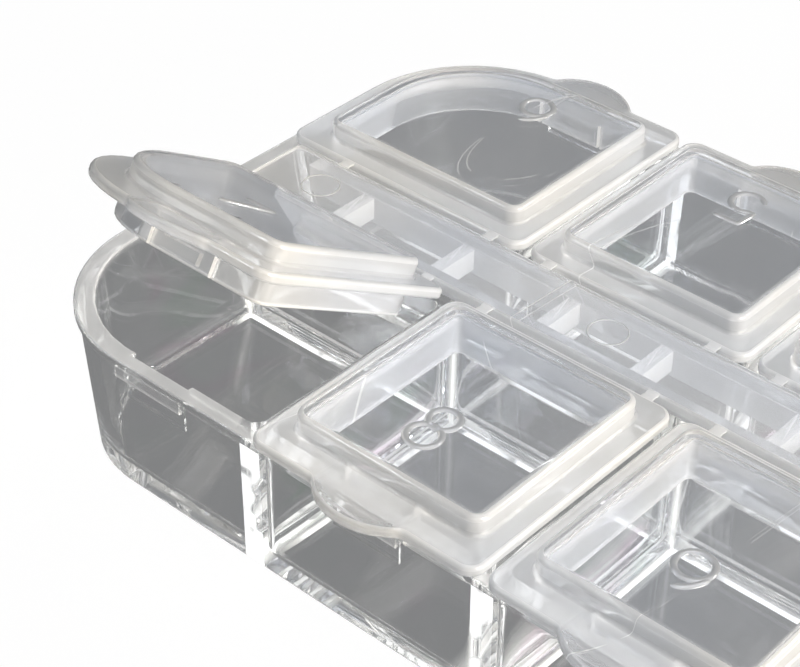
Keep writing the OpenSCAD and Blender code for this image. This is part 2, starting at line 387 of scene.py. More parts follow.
# %% Milky polypropylene
def milky_polypropylene(name, milk=None):
    m = Material(name)
    cloud = m.noise(150, 2.0, 0.5, at=(0.2, 0.5, 0.1))
    warmth = m.noise(60, 1.0, 0.5, at=(0.9, 0.3, 0.2))
    if milk is None:
        share = m.out(m.node("ShaderNodeAttribute", {
            "attribute_type": "GEOMETRY", "attribute_name": "milk"}), "Fac")
    else:
        share = milk
    lines = m.noise(55, 0.0, 0.5, stretch=(1.2, 0.5, 0.5), at=(0.4, 0.1, 0.6)) - 0.5
    scratch = (1 - m.mask(lines.math("ABSOLUTE"), 0.0, 0.0025)) * m.mask(cloud, 0.5, 0.56)
    clear = m.shader(
        Base_Color=m.mix(cloud, (0.91, 0.94, 1.0), (0.94, 0.96, 1.0)),
        Roughness=m.mask(cloud, 0.3, 0.7) * 0.02 + 0.015, IOR=1.45, Transmission_Weight=1.0,
        Normal=m.bump(cloud, 0.000006))
    colour = m.mix(m.mask(warmth, 0.38, 0.66), (0.79, 0.80, 0.82), (0.89, 0.865, 0.82))
    milky = m.shader(
        Base_Color=m.mix(scratch, colour, (0.95, 0.95, 0.94)),
        Roughness=m.mask(cloud, 0.3, 0.7) * 0.06 + 0.3, IOR=1.49,
        Transmission_Weight=0.08, Coat_Weight=1.0, Coat_Roughness=0.07, Coat_IOR=1.5)
    body = m.blend((share * (cloud * 0.2 + 0.9) + scratch * 0.35).clamp(), clear, milky)
    return m.finish(m.lets_lamps_through(body, (0.9, 0.9, 0.9)))


LID_MATERIAL = milky_polypropylene("milky_polypropylene_lid")
SPINE_MATERIAL = milky_polypropylene("milky_polypropylene_spine")
FILM_MATERIAL = milky_polypropylene("milky_polypropylene_film", 0.75)
NUMBER_MATERIAL = milky_polypropylene("milky_polypropylene_number", 0.3)
print("material", LID_MATERIAL.name)

# %% [markdown]
# The tray is one skin. Its outside is a stack of rings from the foot up to the rim, its inside is
# twelve bays and a channel, each a stack of rings that goes down, and the flat top between them is
# filled with triangles. The catches bulge out of the outside, and the recess behind each catch
# bulges out of its bay, so both are only a shift of some of a ring's points. Every point carries
# five numbers: its place, its share of painted light and its stress.


# %% Outside of the tray
def flagged(xs, marks, kind=1):
    """Sorted x with a flag that says inside which kind of feature; marks are (middle, half width,
    kind). Both edges of a feature are written twice, so that its side face can stand upright."""
    marks = [(*mark, kind)[:3] for mark in marks]
    plain = [(x, 1, 0) for x in xs if all(abs(x - c) > h + 1e-6 for c, h, _ in marks)]
    for c, h, k in marks:
        plain += [(c - h, 0, 0), (c - h, 2, k), (c, 1, k), (c + h, 0, k), (c + h, 2, 0)]
    plain.sort()
    return np.array([p[0] for p in plain]), np.array([p[2] for p in plain], float)


def smooth_arc(cx, cz, r, start, stop, count=5):
    return [tuple(p) for p in arc(cx, cz, r, start, stop, count)]


def catch_places():
    """x of the middle of every catch of a row."""
    return [in_column([[catch_mid(is_end(c)), 0, 0]], c, "rear")[0][0, 0] for c in range(COLUMNS)]


def level_size(z):
    """Half length, half width and corner radius of the outer wall at a height, as moulded."""
    return [np.interp(z, WALL_HEIGHTS, values) for values in WALL_SIZES]


# Shares of painted light on the outside: a painted sheen on the rim, the catches, their lips and
# the foot, and a painted chain of glints where each divider meets the outside wall.
RIM_PAINTED_GLOW, DIVIDER_PAINTED_GLOW, LIP_PAINTED_GLOW, CATCH_PAINTED_GLOW, FOOT_PAINTED_GLOW = 0.65, 1.5, 0.85, 0.25, 0.4
DIVIDER_MARK = 0.9  # half width of the bright column where a divider meets the outside
CATCH_KIND, DIVIDER_KIND = 1, 2


def tray_outside():
    """Rings of the outside, from the middle of the underside up to the flat top of the rim."""
    dividers = [((i - 2) * PITCH, DIVIDER_MARK, DIVIDER_KIND) for i in range(COLUMNS - 1)]
    xs, flags = flagged(np.linspace(-51, 51, 35),
                        [(x, CATCH_W / 2, CATCH_KIND) for x in catch_places()] + dividers)
    rim_low = TRAY_H - RIM_T
    corner, side = 20, 6
    rings = []

    def ring(z, size, bar, frost=0.0):
        """bar: the y to which the points of a catch bar stand out, or None to leave them."""
        hx, hy, r = size
        o = outline((-hx, -hy, hx, hy), [r] * 4, xs, xs, corner=corner, side=side)
        y, n = o[:, 1].copy(), len(xs)
        mark = np.zeros(len(o))
        mark[:n] = flags
        start = n + 2 * (corner + 1) + side
        mark[start:start + n] = flags[::-1]
        glow = np.full(len(o), frost)
        if z < rim_low:
            glow[mark == DIVIDER_KIND] = DIVIDER_PAINTED_GLOW
        if bar is not None:
            y = np.where(mark == CATCH_KIND, np.sign(y) * bar, y)
            glow[mark == CATCH_KIND] = LIP_PAINTED_GLOW if z < bar_low + 0.2 else CATCH_PAINTED_GLOW
        rings.append(np.stack([o[:, 0], y, np.full(len(o), z), glow, np.zeros(len(o))], 1))

    bar_low, bar_y = rim_low - CATCH_H, ROW_REACH + CATCH_OUT
    base = level_size(FOOT_R)
    for inset in (FOOT_R + 0.1, FOOT_R + 0.02):
        ring(0, [v - inset for v in base], None)
    for degrees in (0, 22, 45, 68, 90):
        a = math.radians(degrees)
        inset = FOOT_R * (1 - math.sin(a))
        ring(FOOT_R * (1 - math.cos(a)), [v - inset for v in base], None)
        if degrees == 45:
            rings[-1][:len(xs), 3] = FOOT_PAINTED_GLOW
    ring(FOOT_R + 0.05, level_size(FOOT_R + 0.05), None)
    for z in (4.0, 7.5, bar_low - 0.02, bar_low):
        ring(z, level_size(z), None)
    for up, inset in ((0, 0.12), (0.04, 0.04), (0.14, 0)):
        ring(bar_low + up, level_size(bar_low + up), bar_y - inset)
    under = level_size(rim_low - 0.2)
    for a in np.radians([0, 30, 60, 90]):
        grow = 0.2 * (1 - math.cos(a))
        ring(rim_low - 0.2 + 0.2 * math.sin(a),
             (under[0] + grow, under[1] + grow * 0.5, under[2] + grow), bar_y)
    edge = (HALF_L, ROW_REACH, CORNER_R)
    for a in np.radians([-90, -60, -30, 0]):
        s = 0.12 * (1 - math.cos(a))
        ring(rim_low + 0.12 + 0.12 * math.sin(a), [v - s for v in edge], bar_y)
    shoulder = TRAY_H - 0.34
    ring(shoulder - 0.03, edge, bar_y)
    ring(shoulder - 0.01, edge, bar_y - 0.03)
    ring(shoulder, edge, None)
    # A painted sheen grows over the rim's top round towards its flat top.
    for a, frost in zip(np.radians([0, 22, 45, 68, 90]), (0, 0.1, 0.35, 0.6, 0.7)):
        s = 0.22 * (1 - math.cos(a))
        ring(TRAY_H - 0.22 + 0.22 * math.sin(a), [v - s for v in edge], None, frost)
    ring(TRAY_H, [v - 0.25 for v in edge], None, RIM_PAINTED_GLOW)
    return np.array(rings)


outside = tray_outside()
print("tray outside", outside.shape)


# %% Bays and channel
# Shares of painted light in the bays: painted chains along the floor fillets and up the corners,
# and a painted sheen on the top rounds.
FILLET_PAINTED_GLOW, CORNER_PAINTED_GLOW = (0, 0, 0, 0, 0, 0.3, 1.5, 1.6, 1.5), 1.4
ROUND_PAINTED_GLOW = (0.7, 0.7, 0.4, 0.1)
# How much of the painted light each part of a bay's outline gets: the side towards the channel,
# the right side, the outer side and the left side, each with the corner after it. A middle bay,
# then an end bay.
LOW_SHARES = ((1, 1, 0.85, 0.3, 0, 0.3, 0.85, 1), (1, 1, 0, 0, 0, 0.3, 0.85, 1))
TOP_SHARES = ((0, 0, 0, 0.3, 1, 0.3, 0, 0), (0, 0, 1, 1, 1, 0.3, 0, 0))
STRESSED_SIDES = (0, 0, 1, 0, 0, 0, 1, 0)


def bay_rings(end):
    """One pocket in a rear column that starts at x = 0, from its top round down to its floor."""
    mid, half = catch_mid(end), CATCH_W / 2 - CATCH_END_T
    xs_high, flags = flagged(np.linspace(2.0, 13.6 if end else 18.3, 12), [(mid, half)])
    xs_low = np.linspace(2.0, 18.3, 8)
    corner, side = 10, 5
    painted_top = 9.0
    rings = []

    def ring(z, grow, notch, frost=0.0):
        low = FLOOR_T + FOOT_R
        hy = ROW_REACH - RIM_W
        hx = np.interp(z, [low, TRAY_H], [BAY_FOOT_HALF_L, HALF_L - RIM_W]) - LAST_DIVIDER
        big = np.interp(z, [low, TRAY_H], [BAY_FOOT_CORNER_R, CORNER_R - RIM_W])
        x1 = hx if end else PITCH - DIVIDER_T / 2
        small = BAY_CORNER_R
        o = outline((DIVIDER_T / 2, BAY_IN, x1, hy), (small, small, big if end else small, small),
                    xs_low, xs_high, grow=grow, corner=corner, side=side)
        n, low_n, high_n = corner + 1, len(xs_low), len(xs_high)
        if notch:
            start = low_n + 2 * n + side
            o[start:start + high_n, 1] += NOTCH_DEPTH * flags[::-1]
        counts = (low_n, n, side, n, high_n, n, side, n)
        shares = (LOW_SHARES if z < TRAY_H - 1 else TOP_SHARES)[end]
        glow = frost * np.repeat(shares, counts)
        below = z < painted_top
        if below:
            edge = np.sin(np.linspace(0, math.pi, n)) ** 8 * CORNER_PAINTED_GLOW
            glow[low_n:low_n + n] = np.maximum(glow[low_n:low_n + n], edge)
            glow[-n:] = np.maximum(glow[-n:], edge)
        stress = np.repeat(STRESSED_SIDES, counts) * below
        rings.append(np.stack([o[:, 0], o[:, 1], np.full(len(o), z), glow, stress], 1))

    ring(TRAY_H, 0.23, True, RIM_PAINTED_GLOW)
    for a, frost in zip(np.radians([90, 60, 30, 0]), ROUND_PAINTED_GLOW):
        ring(TRAY_H - 0.2 + 0.2 * math.sin(a), 0.2 * (1 - math.cos(a)), True, frost)
    ring(TRAY_H - 0.45, 0, True)
    low = TRAY_H - NOTCH_H
    ring(low + 0.02, 0, True)
    ring(low, 0, True)
    ring(low, 0, False)
    ring(low - 0.02, 0, False)
    # Painted glint: a short painted chain of light on the wall towards the channel.
    glint = slice(2, 5)  # a short bright chain on the wall towards the channel
    for z, frost in ((7.9, 0), (7.8, 1.6), (7.2, 1.4), (7.0, 0), (4.0, 0)):
        ring(z, 0, False)
        rings[-1][glint, 3] = frost
    r = BAY_FILLET_R
    for a, frost in zip(np.radians(np.linspace(0, 90, 9)), FILLET_PAINTED_GLOW):
        ring(FLOOR_T + r - r * math.sin(a), -r * (1 - math.cos(a)), False, frost)
    ring(FLOOR_T, -r - 0.03, False)
    return np.array(rings)


def channel_rings():
    """The long pocket between the two rows, open at the top."""
    rings = []

    def ring(z, grow, frost=0.0):
        hx = np.interp(z, [FLOOR_T + FOOT_R, TRAY_H], [BAY_FOOT_HALF_L, HALF_L - RIM_W])
        stations = np.linspace(1.5 - hx, hx - 1.5, 31)
        o = outline((-hx, -SPINE_HALF, hx, SPINE_HALF), [0.9] * 4, stations, stations,
                    grow=grow, corner=8, side=3)
        glow = frost * (abs(o[:, 0]) > hx - 0.5 if z > TRAY_H - 1 else np.ones(len(o)))
        rings.append(np.stack([o[:, 0], o[:, 1], np.full(len(o), z), glow, 0 * glow], 1))

    # Painted light in the channel: a painted sheen on the top rounds at its ends, and half the
    # bays' painted chain along its floor fillet.
    ring(TRAY_H, 0.23, RIM_PAINTED_GLOW)
    for a, frost in zip(np.radians([90, 60, 30, 0]), ROUND_PAINTED_GLOW):
        ring(TRAY_H - 0.2 + 0.2 * math.sin(a), 0.2 * (1 - math.cos(a)), frost)
    ring(TRAY_H - 0.45, 0)
    ring(6.0, 0)
    r = CHANNEL_FILLET_R
    for a, frost in zip(np.radians(np.linspace(0, 90, 9)), FILLET_PAINTED_GLOW):
        ring(FLOOR_T + r - r * math.sin(a), -r * (1 - math.cos(a)), frost * 0.5)
    ring(FLOOR_T, -r - 0.03)
    return np.array(rings)


# %% Tray in one skin
def inside_any(points, loops):
    """True where a point lies in one of the loops: an odd number of edges crossed to its right."""
    hit = np.zeros(len(points), bool)
    for loop in loops:
        a, b = loop, np.roll(loop, -1, 0)
        x, y = points[:, :1], points[:, 1:]
        spans = (a[:, 1] > y) != (b[:, 1] > y)
        with np.errstate(divide="ignore", invalid="ignore"):
            cross = a[:, 0] + (y - a[:, 1]) * (b[:, 0] - a[:, 0]) / (b[:, 1] - a[:, 1])
        hit |= (spans & (x < cross)).sum(1) % 2 == 1
    return hit


def build_tray():
    points, faces = [outside.reshape(-1, 5)], quads(*outside.shape[:2]).tolist()
    m = outside.shape[1]
    faces.append(list(range(m))[::-1])
    count = len(points[0])
    loops, starts = [outside[-1]], [count - m]
    pockets = [(channel_rings(), False)]
    for row in ("rear", "front"):
        for column in range(COLUMNS):
            pockets.append(in_column(bay_rings(is_end(column)), column, row))
    for rings, mirrored in pockets:
        k, m = rings.shape[:2]
        made = quads(k, m, count).tolist() + [(count + (k - 1) * m + np.arange(m)).tolist()]
        faces += flipped(made) if mirrored else made
        points.append(rings.reshape(-1, 5))
        loops.append(rings[0])
        starts.append(count)
        count += k * m
    flat = np.concatenate([loop[:, :2] for loop in loops])
    number = np.concatenate([s + np.arange(len(loop)) for s, loop in zip(starts, loops)])
    edges, at = [], 0
    for loop in loops:
        n = len(loop)
        edges += [(at + i, at + (i + 1) % n) for i in range(n)]
        at += n
    out = delaunay_2d_cdt([tuple(p) for p in flat], edges, [], 1, 1e-7)
    cdt, tris, source = np.array([tuple(v) for v in out[0]]), np.array(out[2]), out[3]
    middle = cdt[tris].mean(1)
    keep = inside_any(middle, [loops[0][:, :2]]) & ~inside_any(
        middle, [loop[:, :2] for loop in loops[1:]])
    back = np.array([number[s[0]] for s in source])
    top = back[tris[keep]]
    p = np.concatenate(points)
    a, b, c = p[top][..., :3].transpose(1, 0, 2)
    turn = np.cross(b - a, c - a)[:, 2] < 0
    top[turn] = top[turn][:, ::-1]
    return p, faces + top.tolist()


tray_points, tray_faces = build_tray()
tray = piece("tray_shell", tray_points[:, :3], tray_faces, "tray", TRAY_MATERIAL,
             {"frost": tray_points[:, 3], "stress": tray_points[:, 4]})
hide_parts("tray")

# %% [markdown]
# A lid is also one skin: window, rounded ridge, flange, skirt and back up to the underside of the
# window. The tab is the flange's edge pushed out along an arc of a circle. The two slits beside
# the bump are points of the skirt that are pulled up to the flange.


# %% Lid
def lid_stations(mid):
    """x of the points on the tab side: the tab's arc, the bump's edges, and the slits, twice."""
    tab = mid + TAB_W / 2 * 1.1 * np.sin(np.linspace(-math.pi / 2, math.pi / 2, 27))
    bump = mid + np.array([-2.0, -1.9, -1.75, -1.6, 1.6, 1.75, 1.9, 2.0])
    marks = [(mid + s * SLIT_SPAN / 2, SLIT_W / 2) for s in (-1, 1)]
    return flagged(np.concatenate([tab, bump]), marks)


def tab_shape(x, mid):
    """How far the tab stands out: a circle through its two ends, eased into the straight edge."""
    r = (TAB_W**2 / 4 + TAB_OUT**2) / (2 * TAB_OUT)
    inner = np.clip(r**2 - (x - mid) ** 2, 0, None)
    raw = np.sqrt(inner) - (r - TAB_OUT)
    return np.where(raw > 0.25, raw, 0.25 * np.exp((raw - 0.25) / 0.25) * (raw > -1.2))


# Each step of the cross-section: outline it belongs to (F flange, S ridge and skirt), how far
# outwards from it, height, and how milky the plastic looks there.
def arc_steps(base, cx, cz, r, start, stop, milk, count=5):
    return [(base, x, z, milk) for x, z in smooth_arc(cx, cz, r, start, stop, count)]


def lid_section():
    top, flange, low = PANEL_TOP, FLANGE_TOP, FLANGE_Z
    steps = [("S", -1.05, top, 0.075), ("S", -0.7, top, 0.08), ("S", -0.42, top, 0.15)]
    steps += arc_steps("S", -0.4, top - 0.4, 0.4, 90, 0, 0.75, 6)
    steps += [("S", 0, top - 0.43, 0.6), ("S", 0, flange + 0.27, 0.5)]
    steps += arc_steps("S", 0.25, flange + 0.25, 0.25, 180, 270, 0.4)
    steps += [("S", 0.28, flange, 0.45), ("F", -0.31, flange, 0.52)]
    steps += arc_steps("F", -0.28, flange - 0.28, 0.28, 90, 0, 0.85)
    steps += [("F", 0, flange - 0.3, 0.75), ("F", 0, low + 0.18, 0.65)]
    steps += arc_steps("F", -0.15, low + 0.15, 0.15, 0, -90, 0.5, 4)
    steps += [("F", -0.18, low, 0.28), ("S", 0.2, low, 0.28)]
    steps += arc_steps("S", 0.18, low - 0.18, 0.18, 90, 180, 0.3, 4)
    bump_low = SKIRT_Z + 0.3
    for z in (bump_low + BUMP_H + 0.02, bump_low + BUMP_H - 0.02, bump_low + BUMP_H - 0.1,
              bump_low + 0.15, bump_low + 0.03, bump_low - 0.02):
        steps.append(("S", 0, z, 0.32))
    steps += arc_steps("S", -0.18, SKIRT_Z + 0.18, 0.18, 0, -90, 0.75, 4)
    steps += arc_steps("S", -0.42, SKIRT_Z + 0.18, 0.18, -90, -180, 0.75, 4)
    steps += [("S", -0.6, SKIRT_Z + 0.25, 0.36), ("S", -0.6, 12.3, 0.36)]
    steps += arc_steps("S", -0.9, 12.8, 0.3, 0, 90, 0.25, 5)
    steps += [("S", -0.92, 13.1, 0.1), ("S", -1.1, 13.1, 0.07)]
    return steps


def build_lid(end):
    """Rings, milk and faces of a closed rear lid whose column starts at x = 0."""
    mid = catch_mid(end)
    xs, slit = lid_stations(mid)
    xs_low = np.linspace(3.4, 16.9, 14)
    flange = (0.3, LID_IN, LID_END if end else PITCH - 0.3, LID_OUT)
    ridge = (2.0, 5.75, 21.5 if end else 18.3, 23.05)
    radii = {"F": (1.3, 1.3, 11.5 if end else 1.3, 1.3), "S": (1.2, 1.2, 9.45 if end else 1.2, 1.2)}
    corner, side = 10, 6
    start = len(xs_low) + 2 * (corner + 1) + side
    tab_side = slice(start, start + len(xs))
    rings, milk = [], []
    bump_low = SKIRT_Z + 0.3
    for base, grow, z, amount in lid_section():
        o = outline(flange if base == "F" else ridge, radii[base], xs_low, xs,
                    grow=grow, corner=corner, side=side)
        p = np.concatenate([o, np.full((len(o), 1), z)], 1)
        cloudy = np.full(len(p), amount)
        x = xs[::-1]
        if base == "F":
            out = tab_shape(x, mid)
            p[tab_side, 1] += out
            lift = np.clip(p[tab_side, 1] - (LID_OUT - 0.8), 0, None) * np.clip(out / 0.5, 0, 1)
            p[tab_side, 2] += lift * math.tan(math.radians(TAB_LIFT))
            cloudy[tab_side] *= 1 - 0.5 * np.clip(out / 0.5, 0, 1)
        elif grow == 0 and z < FLANGE_Z:
            tall = np.interp(z, [bump_low, bump_low + 0.12, bump_low + BUMP_H - 0.12,
                                 bump_low + BUMP_H], [0, 1, 1, 0])
            wide = np.interp(abs(x - mid), [BUMP_W / 2 - 0.15, BUMP_W / 2], [1, 0])
            p[tab_side, 1] += BUMP_OUT * tall * wide
        if base == "S":
            cut = slit[::-1] > 0
            z_side = p[tab_side, 2]
            p[tab_side, 2] = np.where(cut & (z_side < FLANGE_Z), FLANGE_Z, z_side)
        rings.append(p)
        # Painted shade: the big corner of an end lid's skirt is made less milky, so it reads
        # darker.
        if end and z < FLANGE_TOP and base == "S":
            cloudy[start - corner - 1:start] *= 0.35
        milk.append(cloudy)
    rings = np.array(rings)
    points, faces = shell(rings)
    return points, flipped(faces), np.concatenate(milk)


def swing(points, angle):
    """Turns points of a rear column about the hinge line, up and towards the spine."""
    a = math.radians(angle)
    y, z = points[..., 1] - AXIS_Y, points[..., 2] - AXIS_Z
    return np.stack([points[..., 0], AXIS_Y + y * math.cos(a) - z * math.sin(a),
                     AXIS_Z + y * math.sin(a) + z * math.cos(a)], -1)


def lid_place(n):
    """Column and row of lid n: 1 to 6 along the rear row from the right, 7 to 12 along the front
    from the left."""
    return (n - COLUMNS - 1, "front") if n > COLUMNS else (COLUMNS - n, "rear")


LIDS = range(1, 2 * COLUMNS + 1)
lid_forms = {end: build_lid(end) for end in (False, True)}
for n in LIDS:
    column, row = lid_place(n)
    points, faces, milk = lid_forms[is_end(column)]
    if n == 7:
        points = swing(points, OPEN_ANGLE)
    points, mirrored = in_column(points, column, row)
    lid = piece(f"lid_{n:02d}_shell", points, flipped(faces) if mirrored else faces,
                f"lid_{n:02d}", LID_MATERIAL, {"milk": milk})
    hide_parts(f"lid_{n:02d}")

# %% [markdown]
# The spine lies in the channel. It is a flat strip with rounded edges. Under it are two long rails
# that grip the channel's walls, with cross ribs between them, and on its top are the faint round
# marks that the mould's ejector pins leave.


# %% Spine
def slab(box, radius, low, high, round_top, round_low, corner=4, xs=None):
    """Rings of a flat plate with a rounded top and bottom edge, from the underside up."""
    x0, y0, x1, y1 = box
    xs = np.linspace(x0 + radius + 0.1, x1 - radius - 0.1, 2) if xs is None else xs
    steps = [(-round_low - 0.04, low), (-round_low - 0.02, low)]
    steps += smooth_arc(-round_low, low + round_low, round_low, -90, 0, 4)
    steps += smooth_arc(-round_top, high - round_top, round_top, 0, 90, 5)
    steps += [(-round_top - 0.02, high), (-round_top - 0.04, high)]
    rings = []
    for grow, z in steps:
        o = outline(box, [radius] * 4, xs, xs, grow=grow, corner=corner, side=2)
        rings.append(np.concatenate([o, np.full((len(o), 1), z)], 1))
    return np.array(rings)


def tube(path, r_side, r_up, count=10, closed=False):
    """A bead carried along a path: an ellipse across it, r_side wide and r_up high."""
    path = np.asarray(path, float)
    ahead = np.roll(path, -1, 0) - np.roll(path, 1, 0)
    if not closed:
        ahead[0], ahead[-1] = path[1] - path[0], path[-1] - path[-2]
    ahead /= np.linalg.norm(ahead, axis=1)[:, None]
    across = np.stack([ahead[:, 1], -ahead[:, 0], np.zeros(len(path))], 1)
    a = np.linspace(0, 2 * math.pi, count, endpoint=False)
    scale = np.ones(len(path))
    if not closed:
        ends = np.minimum(np.arange(len(path)), np.arange(len(path))[::-1])
        scale = np.interp(ends, [0, 1, 2], [0.35, 0.8, 1.0])
    up = np.array([0, 0, 1.0])
    rings = (path[:, None] + scale[:, None, None] * (
        across[:, None] * (r_side * np.cos(a))[None, :, None]
        + up * (r_up * np.sin(a))[None, :, None]))
    k, m = rings.shape[:2]
    faces = quads(k, m).tolist()
    if closed:
        i, j = np.arange(m), np.roll(np.arange(m), -1)
        last = (k - 1) * m
        faces += np.stack([last + i, last + j, j, i], 1).tolist()
    else:
        faces += [list(range(m))[::-1], ((k - 1) * m + np.arange(m)).tolist()]
    return rings.reshape(-1, 3), faces


def together(parts):
    """Several closed skins as one list of points and one of faces."""
    points, faces, at = [], [], 0
    for p, f in parts:
        points.append(p)
        faces += [[at + i for i in face] for face in f]
        at += len(p)
    return np.concatenate(points), faces


SPINE_END = HALF_L - RIM_W - 0.6
SEAM = 0.006  # skins that overlap would bend light twice, so they stop just short of each other
rail_y = SPINE_HALF - RAIL_FIT
spine_parts, spine_milk = [], []


def add_slab(box, low, high, radius, rounds, milk, edge_milk, xs=None):
    """A slab of the spine: its flat faces are hazy and its rounded edges are milky."""
    rings = slab(box, radius, low, high, *rounds, xs=xs)
    cloudy = np.full(rings.shape[:2], milk)
    cloudy[2:11] = edge_milk[0]
    if xs is None:
        for corner in (2, 9, 16, 23):
            cloudy[:, corner:corner + 5] = edge_milk[1]
    spine_parts.append(shell(rings))
    spine_milk.append(cloudy.ravel())


add_slab((-SPINE_END, -SPINE_HALF, SPINE_END, SPINE_HALF), FLANGE_Z, FLANGE_TOP, 0.6,
         (0.2, 0.12), 0.26, (0.5, 0.5), np.linspace(-60, 60, 41))
for s in (-1, 1):
    y = sorted((s * rail_y, s * (rail_y - RAIL_W)))
    add_slab((-SPINE_END + RAIL_DEPTH, y[0], SPINE_END - RAIL_DEPTH, y[1]),
             FLANGE_Z - RAIL_DEPTH, FLANGE_Z - SEAM, 0.2, (0.03, 0.2), 0.1, (0.5, 0.5),
             np.linspace(-58, 58, 31))
for place in RIB_PLACES:
    for s in (-1, 1):
        half_y = rail_y - RAIL_W - SEAM
        add_slab((s * place - RIB_T / 2, -half_y, s * place + RIB_T / 2, half_y),
                 FLANGE_Z - RIB_DEPTH, FLANGE_Z - SEAM, 0.05, (0.03, 0.12), 0.1, (0.8, 0.8))
for x in (-57.4, -29.5, 0, 29.5, 57.4):
    ring = np.concatenate([arc(x, 0, 1.5, 0, 352.5, 48), np.full((48, 1), FLANGE_TOP)], 1)
    spine_parts.append(tube(ring, 0.06, 0.03, closed=True))
    spine_milk.append(np.full(len(spine_parts[-1][0]), 0.6))
spine_points, spine_faces = together(spine_parts)
spine = piece("spine_strip", spine_points, spine_faces, "tray", SPINE_MATERIAL,
              {"milk": np.concatenate(spine_milk)})
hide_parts("spine")

# %% [markdown]
# Each lid turns on two straps of film.


# %% Film hinges
def strap(x):
    """Thin sheet across the hinge gap: 17 rings along y, thinner and narrower at the middle."""
    t = np.linspace(0, 1, 17)
    y = SPINE_HALF - 0.25 + t * (LID_IN - SPINE_HALF + 0.5)
    waist = np.exp(-(((y - AXIS_Y) / 0.2) ** 2))
    thick = FILM_T / 2 * (1 - 0.3 * waist)
    half = STRAP_W / 2 * (1 - 0.08 * waist)
    a = np.radians(np.arange(0, 360, 30))
    cx = np.sign(np.cos(a)) * abs(np.cos(a)) ** 0.35
    cz = np.sign(np.sin(a)) * abs(np.sin(a)) ** 0.6
    rings = np.stack([x + half[:, None] * cx, np.repeat(y[:, None], len(a), 1),
                      AXIS_Z - 0.01 + thick[:, None] * cz], -1)
    return rings


for n in LIDS:
    column, row = lid_place(n)
    parts = []
    for x in (STRAP_IN, PITCH - STRAP_IN):
        rings = strap(x)
        if n == 7:
            t = np.clip((rings[..., 1:2] - SPINE_HALF) / (LID_IN - SPINE_HALF), 0, 1)
            w = t * t * (3 - 2 * t)
            bent = [swing(rings, OPEN_ANGLE * f) for f in np.linspace(0, 1, 33)]
            pick = np.clip(np.rint(w[..., 0] * 32), 0, 32).astype(int)
            rings = np.stack(bent)[pick, np.arange(rings.shape[0])[:, None],
                                   np.arange(rings.shape[1])]
        rings, mirrored = in_column(rings, column, row)
        points, faces = shell(rings)
        parts.append((points, faces if mirrored else flipped(faces)))
    points, faces = together(parts)
    film = piece(f"hinge_strap_{n:02d}", points, faces, None, FILM_MATERIAL)
    sign = -1 if row == "front" else 1
    x = points[:, 0].mean()
    end = swing(np.array([0, LID_IN, AXIS_Z]), OPEN_ANGLE if n == 7 else 0)
    x * MM
    sign * SPINE_HALF * MM
    x * MM
    sign * end[1] * MM
    end[2] * MM
    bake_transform(film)
    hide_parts(f"hinge_film_{n:02d}")

# %% [markdown]
# Plain numbers from 1 to 12 stand up from the windows as rounded beads. Each is read from its
# tab side. A stroke is a bead carried along a path made of lines and arcs.


# %% Numbers
def line(*corners, step=0.25):
    """Points about step apart along straight lines through the corners."""
    out = [np.array(corners[0], float)]
    for a, b in zip(np.array(corners[:-1], float), np.array(corners[1:], float)):
        n = max(2, int(np.linalg.norm(b - a) / step))
        out += list(a + (b - a) * t for t in np.linspace(0, 1, n + 1)[1:])
    return np.array(out)


RING = 40
STROKES = {
    "0": [("ring", arc(0, 0, 1, 0, 351, RING) * [1.25, 2.1])],
    "1": [("open", line((-0.8, 1.2), (0, 2.1), (0, -2.1)))],
    "2": [("open", np.concatenate([arc(0, 0.85, 1.25, 160, -40, 22),
                                   line((-1.3, -2.1), (1.35, -2.1))]))],
    "3": [("open", np.concatenate([arc(0, 1.0, 1.1, 150, -80, 20),
                                   arc(0, -0.95, 1.2, 80, -150, 22)]))],
    "4": [("open", line((0.6, -2.1), (0.6, 2.1), (-1.4, -0.8), (1.4, -0.8)))],
    "5": [("open", np.concatenate([line((1.2, 2.1), (-1.0, 2.1), (-1.15, 0.25)),
                                   arc(0, -0.8, 1.3, 125, -150, 26)]))],
    "6": [("ring", arc(0, -0.8, 1.3, 0, 351, RING)),
          ("open", arc(1.0, -0.6, 2.35, 178, 112, 14))],
    "7": [("open", line((-1.3, 2.1), (1.3, 2.1), (-0.3, -2.1)))],
    "8": [("ring", arc(0, 1.1, 1.1, 0, 351, RING)), ("ring", arc(0, -1.05, 1.22, 0, 351, RING))],
    "9": [("ring", arc(0, 0.8, 1.3, 0, 351, RING)),
          ("open", arc(-1.0, 0.6, 2.35, -2, -68, 14))],
}
for n in LIDS:
    column, row = lid_place(n)
    end = is_end(column)
    x_mid, _ = in_column([[catch_mid(end) + (0.6 if end else 0), 0, 0]], column, "rear")
    turn = 1 if row == "front" else -1
    y_mid = -17.9 * turn
    word = str(n)
    parts = []
    for i, digit in enumerate(word):
        shift = (i - (len(word) - 1) / 2) * 3.3
        for kind, path in STROKES[digit]:
            flat = (path + [shift, 0]) * turn + [x_mid[0, 0], y_mid]
            p, f = tube(np.concatenate([flat, np.full((len(flat), 1), PANEL_TOP)], 1),
                        0.26, 0.14, closed=kind == "ring")
            parts.append((p, f))
    points, faces = together(parts)
    if n == 7:
        p, _ = in_column(points, 0, "front")  # the mirror undoes itself
        points, _ = in_column(swing(p, OPEN_ANGLE), 0, "front")
    number = piece(f"lid_{n:02d}_number", points, faces, f"lid_{n:02d}",
                   NUMBER_MATERIAL)

# %% [markdown]
# The camera is where a fit of the box's straight edges to the photograph puts it. It is a long
# lens close to the box, turned a little about its own axis.

